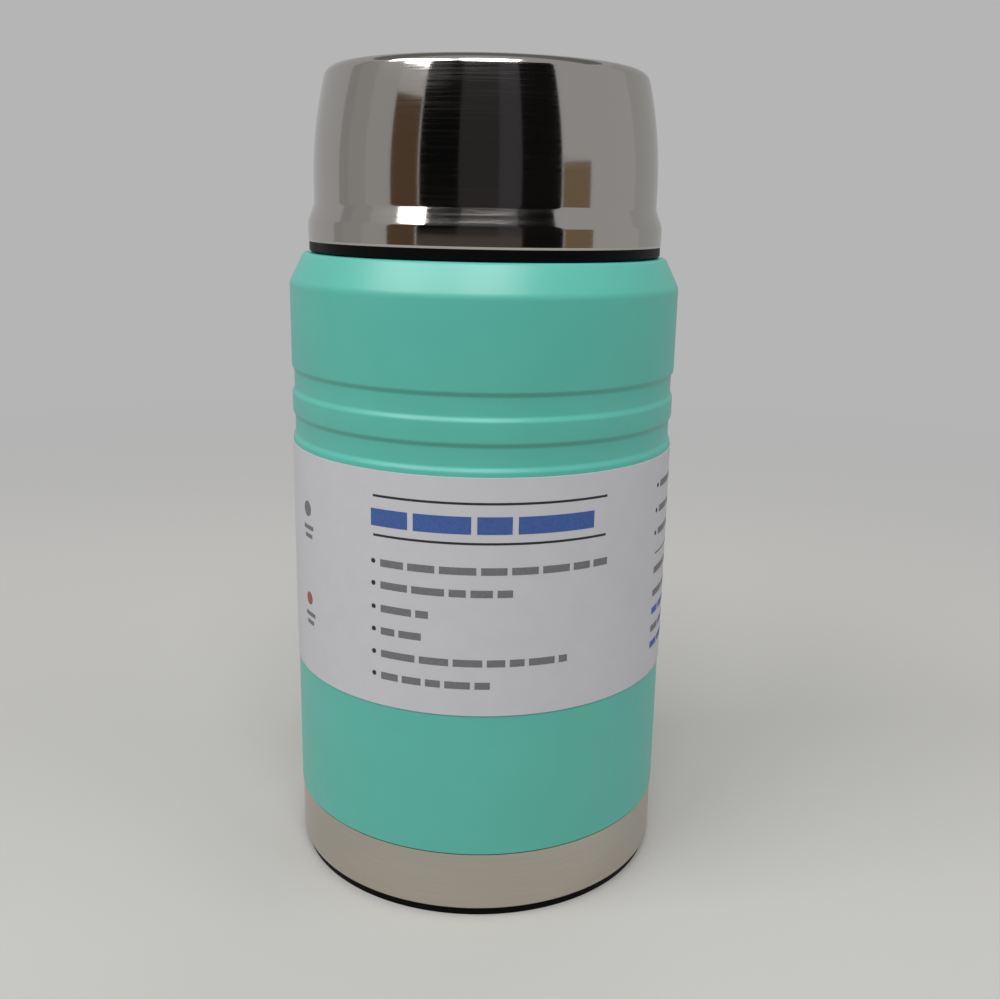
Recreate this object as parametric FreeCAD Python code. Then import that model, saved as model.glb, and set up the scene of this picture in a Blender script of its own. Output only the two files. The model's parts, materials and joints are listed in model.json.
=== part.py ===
"""Insulated food jar: vacuum body, plug stopper with a folding spoon, and a steel serving cup."""
import FreeCAD, Part
import math
import os

V = FreeCAD.Vector
AXIS_Z = V(0, 0, 1)
ORIGIN = V(0, 0, 0)

# Body, outside
BODY_R = 50.0
CASING_WALL = 0.6
BAND_TOP_Z = 17.9
BAND_INSET = 0.2
LABEL_RAISE = 37.4
LABEL_H = 58.8
LABEL_TO_RIB = 1.2
RIB_RECESS_H = 6.1
RIB_BEAD_H = 6.0
RIB_DEPTH = 0.6
RIB_ROUND = 0.4667
RIB_TO_SHOULDER = 21.1
SHOULDER_H = 7.1
SHOULDER_IN = 3.6
SHOULDER_ROUND = 4.0
SHOULDER_TOP_ROUND = 0.9

# Base
BASE_WALL = 0.8
BASE_ROUND = 3.0
FOOT_W = 3.6
FOOT_RISE = 1.8
FOOT_SLOPE = 1.2
FOOT_MIDDLE_ROUND = 0.8
FOOT_EDGE_ROUND = 0.5
FOOT_CREASE_ROUND = 0.6
BASE_LAP = 5.0
LAP_CLEAR = 0.02
PORT_DISC_R = 9.0
PORT_DISC_T = 0.6
GETTER_R = 5.0
GETTER_T = 2.0
GETTER_X = 24.0
CLIP_W = 4.0
CLIP_T = 0.4
CLIP_CLEAR = 0.1
CLIP_FOOT = 4.0

# Neck and mouth
NECK_IN = 5.2
NECK_H = 13.7
NECK_FOOT_ROUND = 1.0
LIP_W = 2.3
LIP_T = 0.6
LINER_WALL = 0.5
VACUUM_GAP = 4.4
VACUUM_FLOOR_GAP = 9.9
LINER_FLOOR_ROUND = 12.0
LINER_SHOULDER_DROP = 6.6
MOUTH_START_DROP = 2.7
LINER_ROUND = 4.0
COPPER_T = 0.15
COPPER_CLEAR = 0.02
COPPER_STOP = 2.0

# Twist-lock lugs, on the neck outside and in the mouth
LUG_COUNT = 4
LUG_ARC = 36.0
FIXED_LUG_DEG = 45.0
KEY_LUG_DEG = 0.0
LUG_DROP = 7.4
LUG_H = 1.7
NECK_LUG_OUT = 1.1
MOUTH_LUG_IN = 1.2
LUG_AXIAL_CLEAR = 0.5
LUG_SIDE_CLEAR = 0.4
KEY_LUG_H = 2.0

# Fits between pieces that come apart
SEAT_CLEAR = 0.3
SIDE_CLEAR = 0.3

# Paper sleeve
LABEL_CLEAR = 0.05
LABEL_T = 0.2

# Stopper
PLUG_WALL = 1.8
PLUG_H = 36.0
PLUG_ROOF_ROUND = 0.8
COVER_T = 2.0
COVER_SPIGOT_H = 5.0
COVER_SPIGOT_W = 1.6
COVER_ROUND = 1.2
GASKET_H = 2.0
GASKET_IN_CLEAR = 0.3
GASKET_ROUND = 0.4
FLANGE_T = 2.4
FLANGE_ROUND = 0.6
DISH_STEP_IN = 1.0
DISH_WALL = 1.6
DISH_H = 9.0
DISH_FLOOR_ROUND = 1.2
DISH_RIM_ROUND = 0.5
GRIP_COUNT = 40
GRIP_R = 0.7
GRIP_OUT = 0.3
GRIP_END = 1.5

# Cup, outside
SKIRT_IN = 1.3
SKIRT_H = 4.8
SKIRT_CURL = 0.5
CUP_STEP_IN = 1.6
CUP_STEP_H = 4.3
CUP_STEP_ROUND = 2.2
CUP_STRAIGHT_H = 5.4
CUP_ARC_R = 103.0
CUP_H = 41.6
CUP_CORNER_R = 3.0
CUP_WALL = 0.5

# Cup, inside
RIM_INSET = 0.25
RIM_RING_H = 2.5
RIM_CHAMFER = 0.4
CUP_GAP = 0.3
CUP_LINER_WALL = 1.3
LINER_STEP_DROP = 1.0
LINER_STEP_H = 2.0
LINER_STEP_ROUND = 0.8
CUP_ROOF_GAP = 2.4
PAD_IN = 9.5
PAD_T = 1.8

# Folding spoon
HINGE_GAP = 7.6
TIP_GAP = 3.6
BOWL_NOSE_OUT = 0.5
BOWL_HALF_L = 23.0
BOWL_HALF_W = 17.5
BOWL_DEPTH = 6.6
BOWL_WALL = 0.8
STEM_T = 1.5
STEM_W = 9.0
STEM_DROP = 0.4
STEM_LAP = 4.0
STEM_TO_FORK = 2.0
HANDLE_T = 1.5
HANDLE_GAP = 0.9
HANDLE_W = 12.0
HANDLE_END_W = 16.0
KNUCKLE_R = 2.3
KNUCKLE_W = 5.0
FORK_W = 2.8
FORK_REACH = 5.2
FORK_LAP = 1.0
PIN_R = 1.0
PIN_CLEAR = 0.05
FORK_CLEAR = 0.3

# Radii worked out
BAND_R = BODY_R - BAND_INSET
LINER_R = BODY_R - CASING_WALL - VACUUM_GAP - LINER_WALL
SHOULDER_TOP_R = BODY_R - SHOULDER_IN
NECK_R = SHOULDER_TOP_R - NECK_IN
MOUTH_R = NECK_R - LIP_W
PLUG_R = MOUTH_R - MOUTH_LUG_IN - SIDE_CLEAR
DISH_R = NECK_R - DISH_STEP_IN
DISH_IN_R = DISH_R - DISH_WALL
SKIRT_R = SHOULDER_TOP_R - SKIRT_IN
CUP_R = SKIRT_R - CUP_STEP_IN
RIM_RING_R = SKIRT_R - RIM_INSET
SKIRT_LINER_R = NECK_R + NECK_LUG_OUT + LUG_SIDE_CLEAR
PAD_R = CUP_R - PAD_IN
SPOON_X = HINGE_GAP - DISH_IN_R
TIP_X = DISH_IN_R - TIP_GAP
BOWL_X = TIP_X + BOWL_NOSE_OUT - BOWL_HALF_L

# Heights worked out, from the foot up
BASE_FLOOR_Z = FOOT_RISE + BASE_WALL
LINER_FLOOR_Z = BASE_FLOOR_Z + VACUUM_FLOOR_GAP + LINER_WALL
LABEL_LOW_Z = BAND_TOP_Z + LABEL_RAISE
LABEL_TOP_Z = LABEL_LOW_Z + LABEL_H
RIB_LOW_Z = LABEL_TOP_Z + LABEL_TO_RIB
SHOULDER_Z = RIB_LOW_Z + 2 * RIB_RECESS_H + RIB_BEAD_H + RIB_TO_SHOULDER
SHOULDER_TOP_Z = SHOULDER_Z + SHOULDER_H
LINER_SHOULDER_Z = SHOULDER_Z - LINER_SHOULDER_DROP
MOUTH_START_Z = SHOULDER_TOP_Z - MOUTH_START_DROP
COPPER_TOP_Z = MOUTH_START_Z - COPPER_STOP
NECK_TOP_Z = SHOULDER_TOP_Z + NECK_H
NECK_LUG_LOW_Z = NECK_TOP_Z - LUG_DROP
KEY_LUG_TOP_Z = NECK_LUG_LOW_Z - LUG_AXIAL_CLEAR
LIP_TOP_Z = NECK_TOP_Z + LIP_T
PLUG_BOTTOM_Z = LIP_TOP_Z - PLUG_H
FLANGE_Z = LIP_TOP_Z + GASKET_H
DISH_FLOOR_Z = FLANGE_Z + FLANGE_T
DISH_TOP_Z = FLANGE_Z + DISH_H
BOWL_RIM_Z = DISH_FLOOR_Z + SEAT_CLEAR + BOWL_DEPTH
STEM_Z = BOWL_RIM_Z - STEM_DROP
HANDLE_Z = STEM_Z + STEM_T / 2 + HANDLE_GAP + HANDLE_T / 2
PIN_Z = (STEM_Z + HANDLE_Z) / 2
RIM_LOW_Z = SHOULDER_TOP_Z + SEAT_CLEAR
SKIRT_LOW_Z = RIM_LOW_Z + RIM_RING_H
SKIRT_TOP_Z = SKIRT_LOW_Z + SKIRT_H
CUP_STEP_TOP_Z = SKIRT_TOP_Z + CUP_STEP_H
CUP_ARC_Z = CUP_STEP_TOP_Z + CUP_STRAIGHT_H
CUP_TOP_Z = SKIRT_LOW_Z + CUP_H


def point(p):
    """A profile point (radius, height) in the XZ plane."""
    return V(p[0], 0, p[1])


def path(nodes):
    """Edges through (radius, height) nodes, where a third number rounds the corner there."""
    joints = []
    for i, node in enumerate(nodes):
        here = point(node)
        inner = 0 < i < len(nodes) - 1
        if len(node) < 3 or not inner:
            joints.append((here, None, here))
            continue
        back = (point(nodes[i - 1]) - here).normalize()
        on = (point(nodes[i + 1]) - here).normalize()
        half = back.getAngle(on) / 2
        reach = node[2] / math.tan(half)
        middle = here + (back + on).normalize() * (node[2] / math.sin(half) - node[2])
        joints.append((here + back * reach, middle, here + on * reach))
    edges = []
    last = None
    for start, middle, end in joints:
        if last is not None and last.distanceToPoint(start) > 1e-6:
            edges.append(Part.LineSegment(last, start).toShape())
        if middle is not None:
            edges.append(Part.Arc(start, middle, end).toShape())
        last = end
    return edges


def close(edges, start, end):
    """The straight edge from one profile point to another."""
    return edges + [Part.LineSegment(point(start), point(end)).toShape()]


def spin(edges):
    """The solid of revolution about Z of a closed chain of profile edges."""
    face = Part.Face(Part.Wire(Part.__sortEdges__(edges)))
    return face.revolve(ORIGIN, AXIS_Z, 360)


def lathe(nodes):
    """A turned solid from a closed profile of nodes, the first one sharp."""
    return spin(close(path(nodes), nodes[-1], nodes[0]))


def tube(r_in, r_out, z_low, z_high):
    """A plain ring or disc about Z."""
    outer = Part.makeCylinder(r_out, z_high - z_low, V(0, 0, z_low), AXIS_Z)
    if r_in <= 0:
        return outer
    return outer.cut(Part.makeCylinder(r_in, z_high - z_low, V(0, 0, z_low), AXIS_Z))


def lugs(r_in, r_out, z_low, height, first_deg):
    """Equal ring sectors spaced round Z, the first one centred at an angle."""
    ring = tube(r_in, r_out, z_low, z_low + height)
    reach = 2 * r_out
    out = []
    for i in range(LUG_COUNT):
        wedge = Part.makeCylinder(reach, height, V(0, 0, z_low), AXIS_Z, LUG_ARC)
        wedge.rotate(ORIGIN, AXIS_Z, first_deg + i * 360 / LUG_COUNT - LUG_ARC / 2)
        out.append(ring.common(wedge))
    return out


def box(x0, x1, y0, y1, z0, z1):
    """A block between corners."""
    return Part.makeBox(x1 - x0, y1 - y0, z1 - z0, V(x0, y0, z0))


def rib_steps(r_base):
    """Profile nodes of the two shallow grooves and the bead between them, going up."""
    z = RIB_LOW_Z
    nodes = []
    for _ in range(2):
        nodes.append((r_base, z, RIB_ROUND))
        nodes.append((r_base - RIB_DEPTH, z + RIB_DEPTH, RIB_ROUND))
        nodes.append((r_base - RIB_DEPTH, z + RIB_RECESS_H - RIB_DEPTH, RIB_ROUND))
        nodes.append((r_base, z + RIB_RECESS_H, RIB_ROUND))
        z += RIB_RECESS_H + RIB_BEAD_H
    return nodes


def shoulder(offset):
    """Profile nodes from the body wall over the shoulder to the neck top, moved in by offset."""
    slope = math.atan2(BODY_R - SHOULDER_TOP_R, SHOULDER_TOP_Z - SHOULDER_Z)
    drop = offset * math.tan((math.pi / 2 - slope) / 2)
    return [
        (BODY_R - offset, SHOULDER_Z - offset * math.tan(slope / 2), SHOULDER_ROUND),
        (SHOULDER_TOP_R - drop, SHOULDER_TOP_Z - offset, SHOULDER_TOP_ROUND),
        (NECK_R - offset, SHOULDER_TOP_Z - offset, NECK_FOOT_ROUND),
        (NECK_R - offset, NECK_TOP_Z),
    ]


def outer_casing():
    """Painted steel shell with two grooves, a sloped shoulder and the neck with its lugs."""
    outside = [(BODY_R, BAND_TOP_Z)] + rib_steps(BODY_R) + shoulder(0)
    inner_r = BODY_R - CASING_WALL
    inside = [(inner_r, BAND_TOP_Z)] + rib_steps(inner_r) + shoulder(CASING_WALL)
    shell = lathe(outside + inside[::-1])
    neck_lugs = lugs(NECK_R - CASING_WALL / 2, NECK_R + NECK_LUG_OUT, NECK_LUG_LOW_Z, LUG_H, FIXED_LUG_DEG)
    return shell.fuse(neck_lugs)


def base_shell():
    """Bare steel bottom pressing: a foot ring, a raised middle and a wall that laps the casing."""
    lap_r = BODY_R - CASING_WALL - LAP_CLEAR
    foot_out = BAND_R - BASE_ROUND
    foot_in = foot_out - FOOT_W
    wall_in = lap_r - BASE_WALL
    return lathe([
        (0, FOOT_RISE),
        (foot_in - FOOT_SLOPE, FOOT_RISE, FOOT_MIDDLE_ROUND),
        (foot_in, 0, FOOT_EDGE_ROUND),
        (BAND_R, 0, BASE_ROUND),
        (BAND_R, BAND_TOP_Z),
        (lap_r, BAND_TOP_Z),
        (lap_r, BAND_TOP_Z + BASE_LAP),
        (wall_in, BAND_TOP_Z + BASE_LAP),
        (wall_in, BASE_WALL, BASE_ROUND - BASE_WALL / 2),
        (foot_in + BASE_WALL, BASE_WALL, FOOT_CREASE_ROUND),
        (foot_in + BASE_WALL - FOOT_SLOPE, BASE_FLOOR_Z, FOOT_CREASE_ROUND),
        (0, BASE_FLOOR_Z),
    ])


def port_disc():
    """Small disc that covers the sealed evacuation port, under the raised middle of the base."""
    return tube(0, PORT_DISC_R, FOOT_RISE - PORT_DISC_T, FOOT_RISE)


def getter_pellet():
    """Gas-absorbing pellet on the floor of the vacuum space."""
    return Part.makeCylinder(GETTER_R, GETTER_T, V(GETTER_X, 0, BASE_FLOOR_Z), AXIS_Z)


def getter_clip():
    """Strap spot-welded over the pellet."""
    low = BASE_FLOOR_Z
    span = GETTER_R + CLIP_T
    top = low + GETTER_T
    strap = box(GETTER_X - span, GETTER_X + span, -CLIP_W / 2, CLIP_W / 2, top, top + CLIP_T)
    pieces = [strap]
    for side in (-1, 1):
        inner = GETTER_X + side * (GETTER_R + CLIP_CLEAR)
        outer = GETTER_X + side * span
        far = outer + side * CLIP_FOOT
        leg = box(min(inner, outer), max(inner, outer), -CLIP_W / 2, CLIP_W / 2, low, top + CLIP_T)
        foot = box(min(inner, far), max(inner, far), -CLIP_W / 2, CLIP_W / 2, low, low + CLIP_T)
        pieces += [leg, foot]
    return pieces[0].fuse(pieces[1:])


def liner_nodes(offset):
    """Profile nodes of the inner vessel from the floor's centre up to the mouth, moved out by offset."""
    return [
        (0, LINER_FLOOR_Z - offset),
        (LINER_R + offset, LINER_FLOOR_Z - offset, LINER_FLOOR_ROUND + offset),
        (LINER_R + offset, LINER_SHOULDER_Z, LINER_ROUND),
        (MOUTH_R + offset, MOUTH_START_Z, LINER_ROUND),
    ]


def inner_liner():
    """Inner vessel with its rolled lip welded over the neck, and the lugs in its mouth."""
    inside = liner_nodes(0) + [(MOUTH_R, LIP_TOP_Z)]
    outside = liner_nodes(LINER_WALL) + [(MOUTH_R + LINER_WALL, NECK_TOP_Z)]
    vessel = lathe(outside + [(NECK_R, NECK_TOP_Z), (NECK_R, LIP_TOP_Z)] + inside[::-1])
    mouth_lugs = lugs(MOUTH_R - MOUTH_LUG_IN, MOUTH_R + LINER_WALL / 2, NECK_LUG_LOW_Z, LUG_H, FIXED_LUG_DEG)
    return vessel.fuse(mouth_lugs)


def copper_layer():
    """Copper coating on the vacuum side of the inner vessel, drawn as a thin skin."""
    low = COPPER_CLEAR + LINER_WALL
    high = low + COPPER_T
    near = liner_nodes(low)[:3]
    far = liner_nodes(high)[:3]
    slope = (MOUTH_R - LINER_R) / (MOUTH_START_Z - LINER_SHOULDER_Z)
    top_r = LINER_R + slope * (COPPER_TOP_Z - LINER_SHOULDER_Z)
    near.append((top_r + low, COPPER_TOP_Z))
    far.append((top_r + high, COPPER_TOP_Z))
    return lathe(near + far[::-1])


def paper_label():
    """Printed paper sleeve round the body."""
    inner = BODY_R + LABEL_CLEAR
    return tube(inner, inner + LABEL_T, LABEL_LOW_Z, LABEL_TOP_Z)


def stopper_housing():
    """Moulded plug with key lugs, a flange over the lip and an open dish with grip ribs."""
    plug_in = PLUG_R - PLUG_WALL
    cover_top = PLUG_BOTTOM_Z + COVER_T
    body = lathe([
        (0, DISH_FLOOR_Z),
        (DISH_IN_R, DISH_FLOOR_Z, DISH_FLOOR_ROUND),
        (DISH_IN_R, DISH_TOP_Z, DISH_RIM_ROUND),
        (DISH_R, DISH_TOP_Z, DISH_RIM_ROUND),
        (DISH_R, FLANGE_Z, FLANGE_ROUND),
        (PLUG_R, FLANGE_Z),
        (PLUG_R, cover_top),
        (plug_in, cover_top),
        (plug_in, FLANGE_Z, PLUG_ROOF_ROUND),
        (0, FLANGE_Z),
    ])
    key_lugs = lugs(PLUG_R - PLUG_WALL / 2, MOUTH_R - SIDE_CLEAR,
                    KEY_LUG_TOP_Z - KEY_LUG_H, KEY_LUG_H, KEY_LUG_DEG)
    ribs = []
    for i in range(GRIP_COUNT):
        rib = Part.makeCylinder(GRIP_R, DISH_TOP_Z - FLANGE_Z - 2 * GRIP_END,
                                V(DISH_R + GRIP_OUT - GRIP_R, 0, FLANGE_Z + GRIP_END), AXIS_Z)
        rib.rotate(ORIGIN, AXIS_Z, i * 360 / GRIP_COUNT)
        ribs.append(rib)
    return body.fuse(key_lugs + ribs)


def stopper_cover():
    """Disc that closes the plug's bottom, with a spigot pressed up inside it."""
    spigot_r = PLUG_R - PLUG_WALL - LAP_CLEAR
    top = PLUG_BOTTOM_Z + COVER_T
    return lathe([
        (0, PLUG_BOTTOM_Z),
        (PLUG_R, PLUG_BOTTOM_Z, COVER_ROUND),
        (PLUG_R, top),
        (spigot_r, top),
        (spigot_r, top + COVER_SPIGOT_H),
        (spigot_r - COVER_SPIGOT_W, top + COVER_SPIGOT_H),
        (spigot_r - COVER_SPIGOT_W, top),
        (0, top),
    ])


def stopper_foam():
    """Insulating puck sealed inside the plug."""
    r = PLUG_R - PLUG_WALL - COVER_SPIGOT_W - SIDE_CLEAR
    return tube(0, r, PLUG_BOTTOM_Z + COVER_T, FLANGE_Z - SEAT_CLEAR)


def stopper_gasket():
    """Silicone ring squeezed between the flange and the lip."""
    inner = PLUG_R + GASKET_IN_CLEAR
    outer = NECK_R - SIDE_CLEAR
    return lathe([
        (inner, LIP_TOP_Z),
        (outer, LIP_TOP_Z),
        (outer, LIP_TOP_Z + GASKET_H / 2, GASKET_ROUND),
        (DISH_R - 2 * SIDE_CLEAR, FLANGE_Z),
        (inner, FLANGE_Z),
    ])


def cup_side(offset):
    """Edges of the cup's side and roof above the step, moved in by offset, and their first node."""
    centre = CUP_R - CUP_ARC_R
    big = CUP_ARC_R - offset
    small = CUP_CORNER_R
    corner_z = CUP_TOP_Z - offset - small
    lift = corner_z - CUP_ARC_Z
    corner_r = centre + math.sqrt((big - small) ** 2 - lift ** 2)
    turn = math.asin(lift / (big - small))
    touch = (centre + big * math.cos(turn), CUP_ARC_Z + big * math.sin(turn))
    half = (centre + big * math.cos(turn / 2), CUP_ARC_Z + big * math.sin(turn / 2))
    tilt = (turn + math.pi / 2) / 2
    bend = (corner_r + small * math.cos(tilt), corner_z + small * math.sin(tilt))
    crest = (corner_r, CUP_TOP_Z - offset)
    start = (CUP_R - offset, CUP_ARC_Z)
    edges = [
        Part.Arc(point(start), point(half), point(touch)).toShape(),
        Part.Arc(point(touch), point(bend), point(crest)).toShape(),
        Part.LineSegment(point(crest), point((0, CUP_TOP_Z - offset))).toShape(),
    ]
    return edges, start


def cup_shell():
    """Polished steel outer wall of the cup, with its skirt and edge turned in."""
    outer_edges, outer_start = cup_side(0)
    inner_edges, inner_start = cup_side(CUP_WALL)
    outer = path([
        (SKIRT_R - SKIRT_CURL, SKIRT_LOW_Z),
        (SKIRT_R, SKIRT_LOW_Z + 2 * SKIRT_CURL, SKIRT_CURL),
        (SKIRT_R, SKIRT_TOP_Z, CUP_STEP_ROUND),
        (CUP_R, CUP_STEP_TOP_Z, CUP_STEP_ROUND),
        outer_start,
    ])
    inner = path([
        (SKIRT_R - SKIRT_CURL - CUP_WALL, SKIRT_LOW_Z),
        (SKIRT_R - CUP_WALL, SKIRT_LOW_Z + 2 * SKIRT_CURL, SKIRT_CURL),
        (SKIRT_R - CUP_WALL, SKIRT_TOP_Z, CUP_STEP_ROUND),
        (CUP_R - CUP_WALL, CUP_STEP_TOP_Z, CUP_STEP_ROUND),
        inner_start,
    ])
    edges = outer + outer_edges + inner + inner_edges
    edges = close(edges, (SKIRT_R - SKIRT_CURL, SKIRT_LOW_Z),
                  (SKIRT_R - SKIRT_CURL - CUP_WALL, SKIRT_LOW_Z))
    edges = close(edges, (0, CUP_TOP_Z), (0, CUP_TOP_Z - CUP_WALL))
    return spin(edges)


def cup_rim_ring():
    """Black ring under the skirt, which the cup stands on when it is closed."""
    inner = SKIRT_LINER_R
    return lathe([
        (inner, RIM_LOW_Z),
        (RIM_RING_R - RIM_CHAMFER, RIM_LOW_Z),
        (RIM_RING_R, RIM_LOW_Z + RIM_CHAMFER),
        (RIM_RING_R, SKIRT_LOW_Z),
        (inner, SKIRT_LOW_Z),
    ])


def cup_liner():
    """Moulded inside of the cup, with the key lugs that pass between those of the neck."""
    skirt_out = SKIRT_R - SKIRT_CURL - CUP_WALL - CUP_GAP
    upper = CUP_WALL + CUP_GAP
    roof_z = CUP_TOP_Z - CUP_WALL - CUP_ROOF_GAP
    step_z = CUP_STEP_TOP_Z - LINER_STEP_DROP
    out_edges, out_start = cup_side(upper)
    in_edges, in_start = cup_side(upper + CUP_LINER_WALL)
    outer = path([
        (skirt_out, SKIRT_LOW_Z),
        (skirt_out, SKIRT_TOP_Z, CUP_STEP_ROUND),
        (CUP_R - upper, CUP_STEP_TOP_Z, CUP_STEP_ROUND),
        out_start,
    ])
    inner = path([
        (SKIRT_LINER_R, SKIRT_LOW_Z),
        (SKIRT_LINER_R, step_z - LINER_STEP_H),
        (CUP_R - upper - CUP_LINER_WALL, step_z, LINER_STEP_ROUND),
        in_start,
    ])
    edges = outer + out_edges + inner + in_edges
    edges = close(edges, (skirt_out, SKIRT_LOW_Z), (SKIRT_LINER_R, SKIRT_LOW_Z))
    edges = close(edges, (0, CUP_TOP_Z - upper), (0, CUP_TOP_Z - upper - CUP_LINER_WALL))
    body = spin(edges)
    above_roof = tube(0, CUP_R, roof_z, CUP_TOP_Z)
    body = body.cut(above_roof)
    roof_disc = cup_liner_roof(roof_z)
    key_lugs = lugs(NECK_R + SIDE_CLEAR, SKIRT_LINER_R + CUP_LINER_WALL / 2,
                    KEY_LUG_TOP_Z - KEY_LUG_H, KEY_LUG_H, KEY_LUG_DEG)
    return body.fuse([roof_disc] + key_lugs)


def cup_liner_roof(roof_z):
    """Flat roof of the cup's moulded inside, cut to the inside's own outline."""
    edges, start = cup_side(CUP_WALL + CUP_GAP)
    edges = close(edges, (0, CUP_TOP_Z - CUP_WALL - CUP_GAP), (0, CUP_ARC_Z))
    edges = close(edges, (0, CUP_ARC_Z), start)
    core = spin(edges)
    return core.common(tube(0, CUP_R, roof_z - CUP_LINER_WALL, roof_z))


def cup_pad():
    """Foam disc between the cup's steel top and its moulded inside."""
    low = CUP_TOP_Z - CUP_WALL - CUP_ROOF_GAP
    return tube(0, PAD_R, low, low + PAD_T)


def spoon_bowl():
    """Steel spoon bowl with its short stem and the middle knuckle of the hinge."""
    def half_egg(shrink):
        ball = Part.makeSphere(1.0)
        scale = FreeCAD.Matrix()
        scale.scale(BOWL_HALF_L - shrink, BOWL_HALF_W - shrink, BOWL_DEPTH - shrink)
        egg = ball.transformGeometry(scale)
        egg.translate(V(BOWL_X, 0, BOWL_RIM_Z))
        return egg
    reach = BOWL_HALF_L + BOWL_HALF_W
    rim_cut = box(BOWL_X - reach, BOWL_X + reach, -reach, reach, BOWL_RIM_Z, BOWL_RIM_Z + reach)
    bowl = half_egg(0).cut(rim_cut)
    hollow = half_egg(BOWL_WALL)
    stem_low = STEM_Z - STEM_T / 2
    stem_high = STEM_Z + STEM_T / 2
    near = SPOON_X + FORK_REACH + STEM_TO_FORK
    far = BOWL_X - BOWL_HALF_L + STEM_LAP
    stem = box(near, far, -STEM_W / 2, STEM_W / 2, stem_low, stem_high)
    throat = box(SPOON_X, near, -KNUCKLE_W / 2, KNUCKLE_W / 2, stem_low, stem_high)
    knuckle = Part.makeCylinder(KNUCKLE_R, KNUCKLE_W, V(SPOON_X, -KNUCKLE_W / 2, PIN_Z), V(0, 1, 0))
    bore = Part.makeCylinder(PIN_R + PIN_CLEAR, 2 * KNUCKLE_W, V(SPOON_X, -KNUCKLE_W, PIN_Z), V(0, 1, 0))
    return bowl.fuse([stem, throat, knuckle]).cut([hollow, bore])


def spoon_handle():
    """Flat handle that lies over the bowl, with a fork that straddles the knuckle."""
    low = HANDLE_Z - HANDLE_T / 2
    start = SPOON_X + FORK_REACH
    half = HANDLE_W / 2
    wide = HANDLE_END_W / 2
    outline = [
        V(start, -half, low),
        V(TIP_X - wide, -wide, low),
        V(TIP_X - wide, wide, low),
        V(start, half, low),
    ]
    side_a = Part.LineSegment(outline[0], outline[1]).toShape()
    nose = Part.Arc(outline[1], V(TIP_X, 0, low), outline[2]).toShape()
    side_b = Part.LineSegment(outline[2], outline[3]).toShape()
    back = Part.LineSegment(outline[3], outline[0]).toShape()
    blade = Part.Face(Part.Wire([side_a, nose, side_b, back])).extrude(V(0, 0, HANDLE_T))
    pieces = []
    bores = []
    inner = KNUCKLE_W / 2 + FORK_CLEAR
    for side in (-1, 1):
        y0 = min(side * inner, side * (inner + FORK_W))
        pieces.append(Part.makeCylinder(KNUCKLE_R, FORK_W, V(SPOON_X, y0, PIN_Z), V(0, 1, 0)))
        pieces.append(box(SPOON_X, start + FORK_LAP, y0, y0 + FORK_W, low, low + HANDLE_T))
        bores.append(Part.makeCylinder(PIN_R + LAP_CLEAR, FORK_W, V(SPOON_X, y0, PIN_Z), V(0, 1, 0)))
    return blade.fuse(pieces).cut(bores)


def spoon_pin():
    """Hinge pin of the spoon, tight in the fork's ears and running in the knuckle."""
    half = KNUCKLE_W / 2 + FORK_CLEAR + FORK_W
    return Part.makeCylinder(PIN_R, 2 * half, V(SPOON_X, -half, PIN_Z), V(0, 1, 0))


NODES = {
    "outer_casing": outer_casing,
    "base_shell": base_shell,
    "vacuum_port_disc": port_disc,
    "getter_pellet": getter_pellet,
    "getter_clip": getter_clip,
    "inner_liner": inner_liner,
    "copper_layer": copper_layer,
    "paper_label": paper_label,
    "stopper_housing": stopper_housing,
    "stopper_cover": stopper_cover,
    "stopper_foam": stopper_foam,
    "stopper_gasket": stopper_gasket,
    "cup_shell": cup_shell,
    "cup_rim_ring": cup_rim_ring,
    "cup_liner": cup_liner,
    "cup_pad": cup_pad,
    "spoon_bowl": spoon_bowl,
    "spoon_handle": spoon_handle,
    "spoon_pin": spoon_pin,
}

os.makedirs("parts", exist_ok=True)
for name, build in NODES.items():
    shape = build()
    shape.exportStep(os.path.join("parts", name + ".step"))
    low_z = shape.BoundBox.ZMin
    high_z = shape.BoundBox.ZMax
    print(name, len(shape.Solids), shape.isValid(), round(shape.Volume), round(low_z, 2), round(high_z, 2))
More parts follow.
